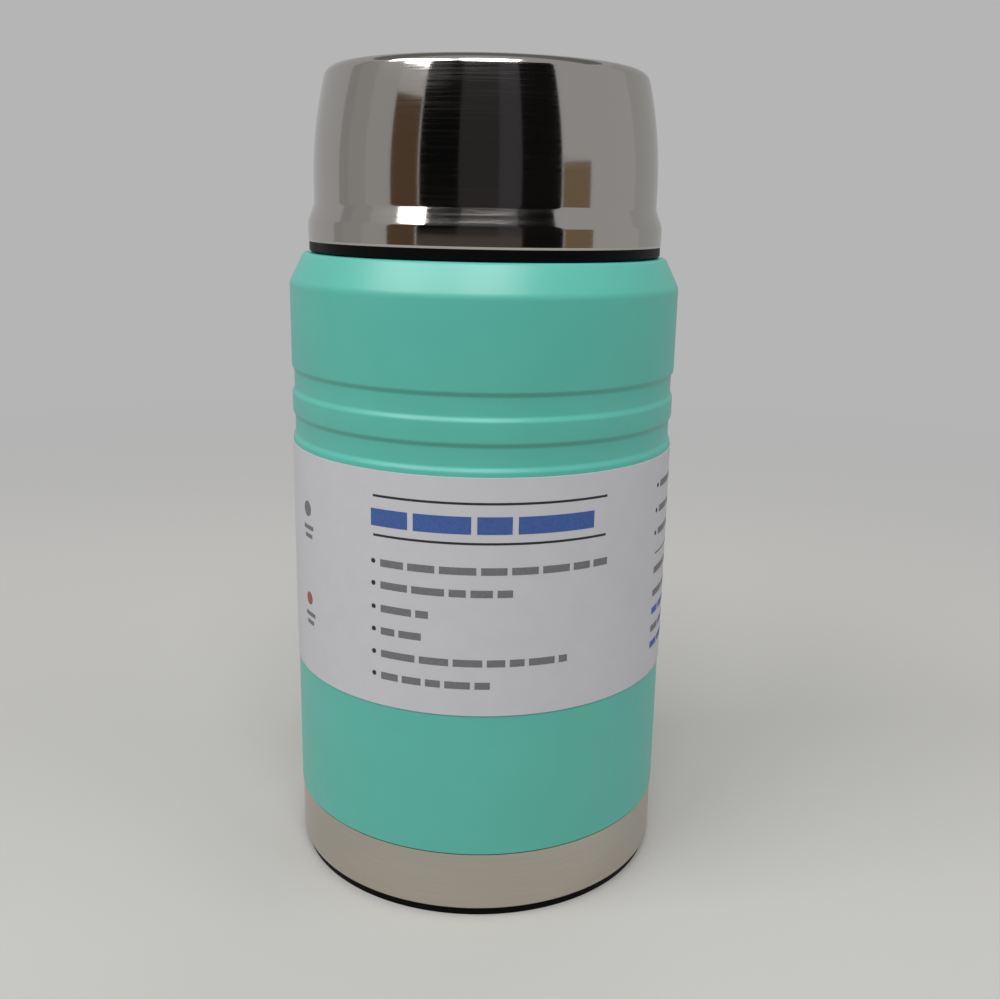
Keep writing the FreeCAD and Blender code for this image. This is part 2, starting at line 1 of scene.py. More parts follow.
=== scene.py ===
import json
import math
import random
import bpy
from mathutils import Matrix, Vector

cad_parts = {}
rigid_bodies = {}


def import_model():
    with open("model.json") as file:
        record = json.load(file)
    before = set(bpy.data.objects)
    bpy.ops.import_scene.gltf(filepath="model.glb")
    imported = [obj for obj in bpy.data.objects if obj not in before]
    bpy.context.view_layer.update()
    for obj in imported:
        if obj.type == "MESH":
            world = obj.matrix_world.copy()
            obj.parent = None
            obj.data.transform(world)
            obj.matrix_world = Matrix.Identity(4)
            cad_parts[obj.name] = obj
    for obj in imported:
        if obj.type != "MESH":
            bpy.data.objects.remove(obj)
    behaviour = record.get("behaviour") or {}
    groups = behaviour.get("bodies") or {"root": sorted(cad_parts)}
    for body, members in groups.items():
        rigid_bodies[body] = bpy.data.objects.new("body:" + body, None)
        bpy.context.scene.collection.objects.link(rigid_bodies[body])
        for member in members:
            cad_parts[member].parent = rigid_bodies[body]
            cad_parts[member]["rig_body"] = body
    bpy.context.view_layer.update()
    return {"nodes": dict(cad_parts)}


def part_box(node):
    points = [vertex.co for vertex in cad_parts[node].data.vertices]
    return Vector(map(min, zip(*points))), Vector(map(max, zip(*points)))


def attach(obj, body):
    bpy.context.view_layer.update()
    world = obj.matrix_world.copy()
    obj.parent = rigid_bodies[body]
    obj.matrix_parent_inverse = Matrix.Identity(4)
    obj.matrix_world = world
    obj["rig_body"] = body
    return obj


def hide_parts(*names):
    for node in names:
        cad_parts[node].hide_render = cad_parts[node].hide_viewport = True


bl_info = {
    "name": "Insulated Food Jar",
    "version": (1, 0, 0),
    "blender": (4, 5, 0),
    "location": "View3D > Sidebar > Food Jar",
    "description": "Dresses the packed food jar: body, cup, paper sleeve, stopper, spoon and studio",
    "category": "Object",
}

import bmesh
import bpy
from bpy.props import FloatProperty, FloatVectorProperty, IntProperty, PointerProperty
from mathutils import Matrix, Vector

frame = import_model()

MM = 0.001
CASING_LOW, CASING_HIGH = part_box("outer_casing")
BASE_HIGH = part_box("base_shell")[1]
SLEEVE_LOW, SLEEVE_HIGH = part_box("paper_label")
CUP_LOW, CUP_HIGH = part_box("cup_shell")
RING_LOW, RING_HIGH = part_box("cup_rim_ring")

# Corner points of a new profile closer than this are one point
MERGE_DISTANCE = 0.002 * MM

# Neck lugs that hold the cup when it is locked
NECK_LUG_LOW_Z = 168.0 * MM
NECK_LUG_HIGH_Z = 169.7 * MM
NECK_LUG_REACH = 1.1 * MM
NECK_LUG_ANGLE = 45

# Bare base: the side's step in from the paint, the clearance under the paint, foot, recess and wall
BAND_STEP = 0.2 * MM
LAP_CLEARANCE = 0.02 * MM
FOOT_WIDTH = 6.6 * MM
RECESS_SLOPE = 1.2 * MM
RECESS_DEPTH = 1.8 * MM
BASE_WALL = 0.8 * MM

# Largest turn between two points of a rounded corner on the body, in degrees
BODY_ROUND_STEP = 7.5

# The two black rings, at the foot and under the cup, are darker and duller than the mouldings: painted shade
# for the gaps they sit in
RING_PAINTED_SHADE_BLACK = "050505"
RING_PAINTED_SHADE_GLOSS = 0.08

# Print: how far under the sleeve's CAD radius a bar starts and ends, and how thick a dot is
PRINT_ROOT = 0.07 * MM
PRINT_SINK = 0.012 * MM
DOT_RISE = 0.055 * MM

# Degrees round the jar that one straight part of a printed bar covers
BAR_STEP = 2

# Words: lengths, gap, shortest piece and the tail that joins the last one, in degrees round the jar
WORD_LENGTHS = (4.0, 10.5)
WORD_GAP = 1.25
SHORTEST_WORD = 1.5
WORD_TAIL = 2.5

# The heading's height in millimetres, its left end, width and gap in degrees, and the share of each bar
HEADING_Z = 102.8
HEADING_LEFT = -31.0
HEADING_WIDTH = 63.2
HEADING_GAP = 1.6
HEADING_SHARES = (0.19, 0.27, 0.16, 0.38)

# Rules: both ends in degrees from the front, and heights in millimetres
RULE_ENDS = (-30.3, 36.5)
RULE_HEIGHTS = (108.0, 98.45)
SIDE_RULE_ENDS = (63.0, 94.0)
SIDE_RULE_Z = 88.4
SIDE_RULE_WIDTH = 0.3 * MM

# Left ends of the dots and the text, in degrees, and how far text stands under its dot, in millimetres
FRONT_DOT = -30.4
FRONT_TEXT = -28.1
FRONT_TEXT_DROP = 0.25
SIDE_DOT = 62.4
SIDE_LIST_TEXT = 64.6
SIDE_TEXT = 62.8

# Rows of print: height in millimetres, right end in degrees and, where it varies, the ink
FRONT_ROWS = ((92.0, 37.4), (86.5, 8.9), (80.6, -14.0), (74.9, -16.0), (69.1, 25.0), (63.4, 3.1))
SIDE_LIST_ROWS = ((106.6, 84.0), (100.0, 78.0), (94.0, 86.0))
SIDE_ROWS = ((83.8, 84.0, "grey"), (77.5, 90.0, "grey"), (72.6, 88.0, "blue"),
             (67.6, 80.0, "grey"), (63.1, 92.0, "blue"))

# Round marks on the left: ink, height and radius in millimetres, and the rows under each,
# which are given by height in millimetres and half their width in degrees
MARKS = (
    ("grey", 99.6, 2.0, ((94.8, 3.2), (92.6, 2.4))),
    ("brown", 75.8, 1.7, ((71.6, 3.2), (69.4, 2.2))),
)
MARK_MIDDLE = -60.0
MARK_ROW_MIDDLE = -59.6
MARK_ROW_HEIGHT = 1.1 * MM

# Inks and their colours, in the order in which they are joined
INKS = (("black", "1B1A1C"), ("blue", "2F4C84"), ("grey", "5E5D60"), ("brown", "7A4A42"))

# Reflection cards: name, left and right end in degrees, lower and upper edge in metres, and colour
CARDS = (
    ("dark card left", -42, -17, 0.15, 0.98, "0F0F0F"),
    ("dark card middle", -17, 8, 0.15, 0.98, "343233"),
    ("dark card beside", 8, 22, 0.15, 0.98, "434145"),
    ("dark card right", 22, 48, 0.0, 0.98, "141212"),
    ("low card", -42, 22, 0.0, 0.15, "56514C"),
    ("warm card left", -62, -43, 0.0, 0.58, "5F4C3B"),
    ("warm card right", 49, 69, 0.0, 0.29, "816E58"),
    ("side card left", -108, -98, 0.0, 0.98, "9E9E9D"),
    ("side card between", -98, -82, 0.0, 0.98, "A5A5A4"),
    ("side card beside", -82, -62, 0.0, 0.98, "AEAEAD"),
    ("side card right", 111, 160, 0.0, 0.98, "ABABAA"),
)

# The floor reaches far past the view and fades into the backdrop between two distances from the jar
FLOOR_RADIUS = 6.0
FADE_START = 0.12
FADE_END = 0.9

# The lamps look at the middle of the jar
LAMP_AIM = (0, 0, 0.1)


# Colour and node helpers

def linear(hex_colour):
    """Linear RGB from an sRGB hex value."""
    out = []
    for i in (0, 2, 4):
        c = int(hex_colour[i:i + 2], 16) / 255
        out.append(c / 12.92 if c <= 0.04045 else ((c + 0.055) / 1.055) ** 2.4)
    return tuple(out)


def add_node(tree, kind, values=None, links=None, **settings):
    """Adds a shader node, sets its settings and socket values, and links its inputs."""
    made = tree.nodes.new("ShaderNode" + kind)
    for name, value in settings.items():
        setattr(made, name, value)
    for name, value in (values or {}).items():
        made.inputs[name].default_value = value
    for name, source in (links or {}).items():
        tree.links.new(source, made.inputs[name])
    return made


def new_finish(name, colour, roughness, metallic=0.0, values=None):
    """A material with one Principled shader, its tree and that shader."""
    material = bpy.data.materials.new(name)
    material.use_nodes = True
    tree = material.node_tree
    shader = tree.nodes["Principled BSDF"]
    shader.inputs["Base Color"].default_value = (*colour, 1)
    shader.inputs["Roughness"].default_value = roughness
    shader.inputs["Metallic"].default_value = metallic
    for socket, value in (values or {}).items():
        shader.inputs[socket].default_value = value
    return material, tree, shader


def add_grain(tree, size, stretch=(1, 1, 1), detail=2.0):
    """Noise over object coordinates with blotches of about size metres, longer on an axis by its stretch."""
    place = add_node(tree, "TexCoord")
    scale = [1 / (size * s) for s in stretch]
    scaled = add_node(tree, "Mapping", {"Scale": scale}, {"Vector": place.outputs["Object"]})
    return add_node(tree, "TexNoise", {"Scale": 1.0, "Detail": detail}, {"Vector": scaled.outputs["Vector"]})


def add_bump(tree, shader, height, depth, strength=1.0, under=None):
    """Raises the surface by a texture's height, depth being its full height in metres."""
    links = {"Height": height}
    if under is not None:
        links["Normal"] = under
    bump = add_node(tree, "Bump", {"Strength": strength, "Distance": depth}, links)
    tree.links.new(bump.outputs["Normal"], shader.inputs["Normal"])
    return bump.outputs["Normal"]


def vary(tree, shader, socket, source, low, high):
    """Drives a shader socket between two values by a noise."""
    spread = add_node(tree, "MapRange", {"From Min": 0.3, "From Max": 0.7, "To Min": low, "To Max": high},
                      {"Value": source})
    tree.links.new(spread.outputs["Result"], shader.inputs[socket])


def vary_colour(tree, shader, source, dark, light):
    """Mixes the base colour between two tones by a noise."""
    ramp = add_node(tree, "ValToRGB", links={"Fac": source})
    ramp.color_ramp.elements[0].position = 0.35
    ramp.color_ramp.elements[1].position = 0.65
    ramp.color_ramp.elements[0].color = (*dark, 1)
    ramp.color_ramp.elements[1].color = (*light, 1)
    tree.links.new(ramp.outputs["Color"], shader.inputs["Base Color"])


def shade(colour, factor):
    """A colour made darker or lighter."""
    return tuple(min(1.0, c * factor) for c in colour)


# Finishes

def powder_coat(colour):
    """Baked polyester powder on steel: an even satin colour with a very fine orange peel."""
    material, tree, shader = new_finish("teal polyester powder coat", colour, 0.38, values={"IOR": 1.5})
    tint = add_grain(tree, 14 * MM)
    vary_colour(tree, shader, tint.outputs["Fac"], shade(colour, 0.985), shade(colour, 1.015))
    peel = add_grain(tree, 1.1 * MM, detail=1.0)
    add_bump(tree, shader, peel.outputs["Fac"], 0.012 * MM, 0.5)
    return material


def satin_steel(name, colour, roughness):
    """Stainless steel brushed round the axis: soft gloss with level streaks, drawn coarser than real ones."""
    material, tree, shader = new_finish(name, colour, roughness, 1.0)
    streak = add_grain(tree, 0.3 * MM, (90, 90, 1), 3.0)
    vary_colour(tree, shader, streak.outputs["Fac"], shade(colour, 0.965), shade(colour, 1.03))
    vary(tree, shader, "Roughness", streak.outputs["Fac"], roughness - 0.03, roughness + 0.04)
    add_bump(tree, shader, streak.outputs["Fac"], 0.0015 * MM, 0.5)
    return material


def polished_steel(colour):
    """Stainless steel buffed on a lathe: clear reflections and level hairlines, coarser than real ones."""
    material, tree, shader = new_finish("lathe-polished stainless steel", colour, 0.075, 1.0)
    lines = add_grain(tree, 0.3 * MM, (60, 60, 1), 3.0)
    vary(tree, shader, "Roughness", lines.outputs["Fac"], 0.05, 0.12)
    hair = add_bump(tree, shader, lines.outputs["Fac"], 0.0012 * MM, 0.6)
    wave = add_grain(tree, 9 * MM, (1.5, 1.5, 1), 1.0)
    add_bump(tree, shader, wave.outputs["Fac"], 0.006 * MM, 0.5, hair)
    return material


def spoon_steel(colour):
    """Pressed stainless steel tumbled bright: soft reflections with fine marks in every direction."""
    material, tree, shader = new_finish("tumbled stainless steel", colour, 0.17, 1.0)
    marks = add_grain(tree, 0.6 * MM, detail=4.0)
    vary(tree, shader, "Roughness", marks.outputs["Fac"], 0.13, 0.24)
    add_bump(tree, shader, marks.outputs["Fac"], 0.0015 * MM, 0.5)
    return material


def copper_plate():
    """Thin copper plating on steel: warm, satin and slightly mottled."""
    colour = linear("C77B5A")
    material, tree, shader = new_finish("copper plating", colour, 0.34, 1.0)
    mottle = add_grain(tree, 5 * MM, detail=3.0)
    vary_colour(tree, shader, mottle.outputs["Fac"], shade(colour, 0.85), shade(colour, 1.1))
    return material


def moulded_plastic(name="black moulded polypropylene", hex_colour="0C0C0C", gloss=0.25):
    """Black moulding, polypropylene unless named: soft gloss and the mould's grain, drawn coarser."""
    material, tree, shader = new_finish(name, linear(hex_colour), 0.42, values={
        "IOR": 1.49, "Specular IOR Level": gloss})
    grain = add_grain(tree, 0.5 * MM, detail=2.0)
    add_bump(tree, shader, grain.outputs["Fac"], 0.01 * MM, 0.5)
    cloud = add_grain(tree, 8 * MM)
    vary(tree, shader, "Roughness", cloud.outputs["Fac"], 0.38, 0.48)
    return material


def silicone_rubber():
    """Pressed silicone: milky grey, soft and slightly see-through at its edges."""
    colour = linear("C9CCCB")
    material, tree, shader = new_finish("milky silicone rubber", colour, 0.5, values={
        "IOR": 1.41, "Subsurface Weight": 0.25, "Subsurface Scale": 0.002})
    grain = add_grain(tree, 0.8 * MM)
    add_bump(tree, shader, grain.outputs["Fac"], 0.01 * MM, 0.4)
    return material


def white_foam():
    """Closed-cell polystyrene foam: matt white beads pressed together."""
    colour = linear("E9E8E2")
    material, tree, shader = new_finish("closed-cell white foam", colour, 0.85)
    place = add_node(tree, "TexCoord")
    beads = add_node(tree, "TexVoronoi", {"Scale": 1 / (2.2 * MM)}, {"Vector": place.outputs["Object"]})
    vary_colour(tree, shader, beads.outputs["Distance"], colour, shade(colour, 0.9))
    add_bump(tree, shader, beads.outputs["Distance"], 0.12 * MM, 0.5)
    return material


def sintered_metal():
    """Sintered getter alloy: dark grey and grainy, its grain drawn coarser than the real one."""
    colour = linear("5B5B5E")
    material, tree, shader = new_finish("sintered getter alloy", colour, 0.62, 0.8)
    grain = add_grain(tree, 0.3 * MM, detail=4.0)
    vary_colour(tree, shader, grain.outputs["Fac"], shade(colour, 0.7), shade(colour, 1.2))
    add_bump(tree, shader, grain.outputs["Fac"], 0.03 * MM, 0.7)
    return material


def sleeve_paper(colour):
    """Uncoated white paper: matt, with faint fibre clouds and a slight tooth, coarser than real fibres."""
    material, tree, shader = new_finish("uncoated sleeve paper", colour, 0.7, values={"IOR": 1.45})
    cloud = add_grain(tree, 6 * MM, detail=4.0)
    vary_colour(tree, shader, cloud.outputs["Fac"], shade(colour, 0.985), shade(colour, 1.012))
    tooth = add_grain(tree, 0.35 * MM, (3, 3, 1), 3.0)
    add_bump(tree, shader, tooth.outputs["Fac"], 0.01 * MM, 0.5)
    return material


def printed_ink(name, hex_colour):
    """Offset ink on paper: flat colour, a little uneven where the paper drinks it."""
    colour = linear(hex_colour)
    material, tree, shader = new_finish(name, colour, 0.55)
    drink = add_grain(tree, 0.5 * MM, detail=3.0)
    vary_colour(tree, shader, drink.outputs["Fac"], colour, shade(colour, 1.25))
    return material


# Modelling helpers

def select_only(piece):
    """Makes one object the selected and active one."""
    bpy.ops.object.select_all(action="DESELECT")
    piece.select_set(True)
    bpy.context.view_layer.objects.active = piece


def rounded(nodes, step_deg=9.0):
    """Points of a profile whose nodes are (radius, height[, corner radius]), in metres."""
    points = []
    for i, here in enumerate(nodes):
        at = Vector(here[:2])
        if len(here) < 3 or not 0 < i < len(nodes) - 1:
            points.append(at)
            continue
        back = (Vector(nodes[i - 1][:2]) - at).normalized()
        on = (Vector(nodes[i + 1][:2]) - at).normalized()
        half = back.angle(on) / 2
        reach = here[2] / math.tan(half)
        centre = at + (back + on).normalized() * here[2] / math.sin(half)
        start = at + back * reach - centre
        turn = math.pi - 2 * half
        if start.x * on.y - start.y * on.x < 0:
            turn = -turn
        count = max(2, math.ceil(math.degrees(abs(turn)) / step_deg))
        for k in range(count + 1):
            a = turn * k / count
            points.append(centre + Vector((start.x * math.cos(a) - start.y * math.sin(a),
                                           start.x * math.sin(a) + start.y * math.cos(a))))
    return points


def arc_points(centre, radius, start, end, count):
    """Points along an arc, the angles measured from the radial direction upwards."""
    out = []
    for k in range(count + 1):
        a = start + (end - start) * k / count
        out.append(Vector((centre[0] + radius * math.cos(a), centre[1] + radius * math.sin(a))))
    return out


def turned(name, profile, steps=200, start=0.0, sweep=math.tau):
    """Draws a closed (radius, height) profile edge by edge and spins it about the jar's axis."""
    bpy.ops.object.select_all(action="DESELECT")
    ray = Vector((math.cos(start), math.sin(start), 0))
    place = [ray * p[0] + Vector((0, 0, p[1])) for p in profile]
    bpy.ops.mesh.primitive_plane_add(size=0.001, location=(0, 0, 0))
    piece = bpy.context.object
    piece.name = piece.data.name = name
    bpy.ops.object.mode_set(mode="EDIT")
    bpy.ops.mesh.merge(type="CENTER")
    bpy.ops.transform.translate(value=place[0])
    for before, after in zip(place, place[1:]):
        bpy.ops.mesh.extrude_region_move(TRANSFORM_OT_translate={"value": after - before})
    bpy.ops.mesh.select_all(action="SELECT")
    ends = bmesh.from_edit_mesh(piece.data)
    for vert in ends.verts:
        vert.select = len(vert.link_edges) == 1
    ends.select_flush_mode()
    bpy.ops.mesh.edge_face_add()
    bpy.ops.mesh.select_all(action="SELECT")
    if sweep < math.tau:
        # A part turn starts from a filled profile, so that both of its ends are closed
        bpy.ops.mesh.edge_face_add()
        bpy.ops.mesh.select_all(action="SELECT")
    bpy.ops.mesh.spin(steps=steps, angle=-sweep, center=(0, 0, 0), axis=(0, 0, 1))
    bpy.ops.mesh.select_all(action="SELECT")
    bpy.ops.mesh.remove_doubles(threshold=MERGE_DISTANCE)
    bpy.ops.mesh.normals_make_consistent(inside=False)
    bpy.ops.object.mode_set(mode="OBJECT")
    return piece


def raise_lugs(piece, wall, out, low, high, middle_deg, arc_deg=36.0, count=4):
    """Extrudes equal sectors of a turned wall to another radius, as lugs."""
    near_wall = 0.1 * MM
    near_end = 0.01 * MM
    select_only(piece)
    bpy.ops.object.mode_set(mode="EDIT")
    bpy.ops.mesh.select_mode(type="FACE")
    bpy.ops.mesh.select_all(action="DESELECT")
    mesh = bmesh.from_edit_mesh(piece.data)
    pitch = 360 / count
    for face in mesh.faces:
        c = face.calc_center_median()
        off = (math.degrees(math.atan2(c.y, c.x)) - middle_deg + pitch / 2) % pitch - pitch / 2
        on_wall = abs(math.hypot(c.x, c.y) - wall) < near_wall and abs(face.normal.z) < 0.1
        in_height = low - near_end < c.z < high + near_end
        face.select_set(on_wall and in_height and abs(off) < arc_deg / 2)
    bmesh.update_edit_mesh(piece.data)
    bpy.ops.mesh.extrude_region_move()
    share = out / wall
    bpy.ops.transform.resize(value=(share, share, 1), center_override=(0, 0, 0))
    bpy.ops.mesh.select_all(action="SELECT")
    bpy.ops.mesh.normals_make_consistent(inside=False)
    bpy.ops.mesh.select_mode(type="VERT")
    bpy.ops.object.mode_set(mode="OBJECT")


def dress(piece, material, node_names, smooth_deg=28.0, body=None):
    """Gives a piece its finish and shading, hides the CAD nodes it stands for, and puts it on their body or a
    named one.
    """
    piece.data.materials.clear()
    piece.data.materials.append(material)
    select_only(piece)
    bpy.ops.object.shade_smooth_by_angle(angle=math.radians(smooth_deg))
    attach(piece, body or frame["nodes"][node_names[0]]["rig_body"])
    if node_names:
        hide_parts(*node_names)
    return piece


def carry_over(node_name, material, smooth_deg=28.0):
    """A merged, smoothly shaded copy of a CAD node in its own finish."""
    piece = bpy.data.objects.new(node_name + "_finished", frame["nodes"][node_name].data.copy())
    bpy.context.scene.collection.objects.link(piece)
    select_only(piece)
    bpy.ops.object.mode_set(mode="EDIT")
    bpy.ops.mesh.select_all(action="SELECT")
    bpy.ops.mesh.remove_doubles(threshold=0.000001)
    bpy.ops.object.mode_set(mode="OBJECT")
    dress(piece, material, [node_name], smooth_deg)
    even = piece.modifiers.new("even_shading", "WEIGHTED_NORMAL")
    even.keep_sharp = True
    bpy.ops.object.modifier_apply(modifier=even.name)
    return piece


def join_pieces(pieces, name):
    """Joins pieces of one finish into one object."""
    bpy.ops.object.select_all(action="DESELECT")
    for piece in pieces:
        piece.select_set(True)
    bpy.context.view_layer.objects.active = pieces[0]
    bpy.ops.object.join()
    joined = bpy.context.object
    joined.name = joined.data.name = name
    return joined


# Sizes and colours a user would change

def length(name, description, default):
    """A length property in metres."""
    return FloatProperty(name=name, description=description, default=default,
                         min=0, unit="LENGTH", precision=5)


def power(name, description, default):
    """A lamp power property in watts."""
    return FloatProperty(name=name, description=description, default=default, min=0, unit="POWER")


def tint(name, description, hex_colour):
    """A colour property from an sRGB hex value."""
    return FloatVectorProperty(name=name, description=description, default=linear(hex_colour),
                               subtype="COLOR", min=0, max=1, size=3)


class FoodJarBody(bpy.types.PropertyGroup):
    """Painted casing and bare base."""
    radius: length("Radius", "Outside radius of the painted body", CASING_HIGH.x)
    wall: length("Wall", "Thickness of the painted steel", 0.6 * MM)
    groove_z: length("Groove height", "Height where the lower groove starts", 115.15 * MM)
    groove_width: length("Groove width", "Height of each groove with its slopes", 6.75 * MM)
    bead_width: length("Bead width", "Height of the bead between the grooves", 4.85 * MM)
    groove_depth: length("Groove depth", "How far each groove is pressed in", 0.6 * MM)
    groove_slope: length("Groove slope", "Height over which a groove's edge slopes in", 1.1 * MM)
    shoulder_z: length("Shoulder height", "Height where the wall turns into the shoulder", 154.6 * MM)
    shoulder_top_z: length("Shoulder top", "Height of the shoulder's upper edge", 161.7 * MM)
    shoulder_top_radius: length("Shoulder top radius", "Radius at the shoulder's upper edge", 46.4 * MM)
    neck_radius: length("Neck radius", "Outside radius of the neck under the cup", 41.2 * MM)
    foot_gap: length("Foot gap", "Height of the recess and its dark ring under the base's edge", 2.0 * MM)
    foot_inset: length("Foot inset", "How far the steel foot stands in from the base's side", 2.3 * MM)
    joint_gap: length("Joint gap", "Height of the fine gap between the paint and the bare base", 0.35 * MM)
    paint: tint("Paint", "Colour of the powder coat", "4FA597")
    steel: tint("Bare steel", "Colour of the brushed base", "C0B9AE")


class FoodJarCup(bpy.types.PropertyGroup):
    """Steel serving cup."""
    skirt_radius: length("Skirt radius", "Outside radius of the flared skirt", CUP_HIGH.x)
    side_radius: length("Side radius", "Outside radius above the step", 43.5 * MM)
    wall: length("Wall", "Thickness of the cup's steel", 0.5 * MM)
    step_low_z: length("Step foot", "Height where the skirt starts to step in", 169.3 * MM)
    step_high_z: length("Step top", "Height where the step ends", 173.6 * MM)
    bulge_z: length("Bulge height", "Height from which the side curves inwards", 179.0 * MM)
    bulge_radius: length("Bulge radius", "Radius of the side's long curve", 103.0 * MM)
    corner_radius: length("Corner radius", "Radius of the top edge", 3.0 * MM)
    steel: tint("Polished steel", "Colour of the polished cup", "BFBBB6")


class FoodJarSleeve(bpy.types.PropertyGroup):
    """Paper sleeve and its plain print."""
    paper: tint("Paper", "Colour of the sleeve's paper", "B3B3B7")
    rule_width: length("Rule width", "Height of the two black rules", 0.55 * MM)
    heading_height: length("Heading height", "Height of the blue heading bars", 4.2 * MM)
    line_height: length("Line height", "Height of the bars that stand for text lines", 1.8 * MM)
    dot_radius: length("Dot radius", "Radius of the list dots", 0.6 * MM)
    seed: IntProperty(name="Seed", description="Sets where the text bars are broken", default=11, min=0)


class FoodJarStudio(bpy.types.PropertyGroup):
    """Floor, backdrop, lamps and camera."""
    floor: tint("Floor", "Colour of the floor", "A7A6A3")
    backdrop: tint("Backdrop", "Colour of the air behind the jar", "B5B5B6")
    key_power: power("Key lamp", "Power of the lamp over the front", 11.5)
    left_power: power("Left lamp", "Power of the large lamp at the left", 15.0)
    right_power: power("Right lamp", "Power of the lamp at the right", 4.5)
    back_power: power("Back lamp", "Power of the lamp behind the jar", 3.0)
    camera_distance: length("Camera distance", "Level distance from the jar's axis to the camera", 298.3 * MM)
    camera_height: length("Camera height", "Height of the camera over the floor", 173.9 * MM)
    focal_length: FloatProperty(name="Focal length", description="Millimetres on a 36 mm sensor",
                                default=40.52, min=1)


# Pieces

def casing_profile(s):
    """Closed profile of the painted casing, outside going up and inside coming down."""
    def outside(inset):
        r = s.radius - inset
        z = s.groove_z
        d = s.groove_depth
        slope = s.groove_slope
        soft = 1.4 * MM
        nodes = [(r, CASING_LOW.z)]
        for _ in range(2):
            top = z + s.groove_width
            nodes += [(r, z, soft), (r - d, z + slope, soft), (r - d, top - slope, soft), (r, top, soft)]
            z = top + s.bead_width
        lean = math.atan2(s.radius - s.shoulder_top_radius, s.shoulder_top_z - s.shoulder_z)
        drop = inset * math.tan((math.pi / 2 - lean) / 2)
        nodes += [
            (r, s.shoulder_z - inset * math.tan(lean / 2), 4 * MM),
            (s.shoulder_top_radius - drop, s.shoulder_top_z - inset, 0.9 * MM),
            (s.neck_radius - inset, s.shoulder_top_z - inset, 1 * MM),
            (s.neck_radius - inset, NECK_LUG_LOW_Z),
            (s.neck_radius - inset, NECK_LUG_HIGH_Z),
            (s.neck_radius - inset, CASING_HIGH.z),
        ]
        return rounded(nodes, BODY_ROUND_STEP)
    return outside(0) + outside(s.wall)[::-1]


def base_profile(s):
    """Closed profile of the bare base, the underside and outside first and the inside after."""
    band_r = s.radius - BAND_STEP
    band_top = CASING_LOW.z - s.joint_gap
    lap_r = s.radius - s.wall - LAP_CLEARANCE
    lap_inner_r = lap_r - BASE_WALL
    edge_r = band_r - s.foot_inset
    edge_inner_r = edge_r - BASE_WALL
    foot = band_r - FOOT_WIDTH
    floor_z = RECESS_DEPTH + BASE_WALL
    return rounded([
        (0, RECESS_DEPTH), (foot - RECESS_SLOPE, RECESS_DEPTH, 0.8 * MM), (foot, 0, 0.5 * MM),
        (edge_r, 0, 0.3 * MM), (band_r - 0.9 * s.foot_inset, s.foot_gap, 0.3 * MM),
        (band_r, s.foot_gap + 0.25 * MM, 0.7 * MM), (band_r, band_top),
        (lap_r, band_top), (lap_r, BASE_HIGH.z), (lap_inner_r, BASE_HIGH.z),
        (lap_inner_r, s.foot_gap + 2.75 * MM, 0.6 * MM),
        (edge_inner_r, s.foot_gap + MM, 0.8 * MM), (edge_inner_r, BASE_WALL, 0.6 * MM),
        (foot + BASE_WALL, BASE_WALL, 0.6 * MM),
        (foot + BASE_WALL - RECESS_SLOPE, floor_z, 0.6 * MM), (0, floor_z),
    ], BODY_ROUND_STEP)


class FOODJAR_OT_body(bpy.types.Operator):
    """Turn the painted casing and the bare base and dress them"""
    bl_idname = "foodjar.body"
    bl_label = "Body"

    def execute(self, context):
        s = context.scene.food_jar_body
        casing = turned("painted_casing", casing_profile(s))
        raise_lugs(casing, s.neck_radius, s.neck_radius + NECK_LUG_REACH,
                   NECK_LUG_LOW_Z, NECK_LUG_HIGH_Z, NECK_LUG_ANGLE)
        dress(casing, powder_coat(s.paint[:]), ["outer_casing"])
        base = turned("brushed_base", base_profile(s))
        brushed = satin_steel("brushed stainless steel", s.steel[:], 0.34)
        dress(base, brushed, ["base_shell"])
        carry_over("vacuum_port_disc", brushed)
        band_r = s.radius - BAND_STEP
        inner = band_r - 0.95 * s.foot_inset
        outer = band_r - 0.45 * s.foot_inset
        # Near-black ring in the foot's recess: painted shade that darkens the line under the base's edge,
        # where the gap lies in shade
        foot_shade_ring = turned("foot_shade_ring", [(inner, 0), (outer, 0), (outer, s.foot_gap), (inner, s.foot_gap)])
        rubber = moulded_plastic("near-black painted shade ring at the foot", RING_PAINTED_SHADE_BLACK, RING_PAINTED_SHADE_GLOSS)
        dress(foot_shade_ring, rubber, [], body="jar")
        return {"FINISHED"}


class FOODJAR_OT_vessel(bpy.types.Operator):
    """Dress the inner vessel, its copper coating and the getter in the vacuum space"""
    bl_idname = "foodjar.vessel"
    bl_label = "Inner vessel"

    def execute(self, context):
        liner = satin_steel("electropolished stainless steel", linear("C4C2BE"), 0.24)
        carry_over("inner_liner", liner)
        carry_over("copper_layer", copper_plate())
        carry_over("getter_pellet", sintered_metal())
        carry_over("getter_clip", liner)
        return {"FINISHED"}


def print_bar(low_deg, high_deg, middle_z, height):
    """A thin printed bar on the sleeve, its ends in degrees from the front towards +X."""
    inner = SLEEVE_HIGH.x - PRINT_ROOT
    outer = SLEEVE_HIGH.x - PRINT_SINK
    low = middle_z - height / 2
    high = middle_z + height / 2
    steps = max(1, round((high_deg - low_deg) / BAR_STEP))
    profile = [(inner, low), (outer, low), (outer, high), (inner, high)]
    return turned("bar", profile, steps, math.radians(low_deg - 90), math.radians(high_deg - low_deg))


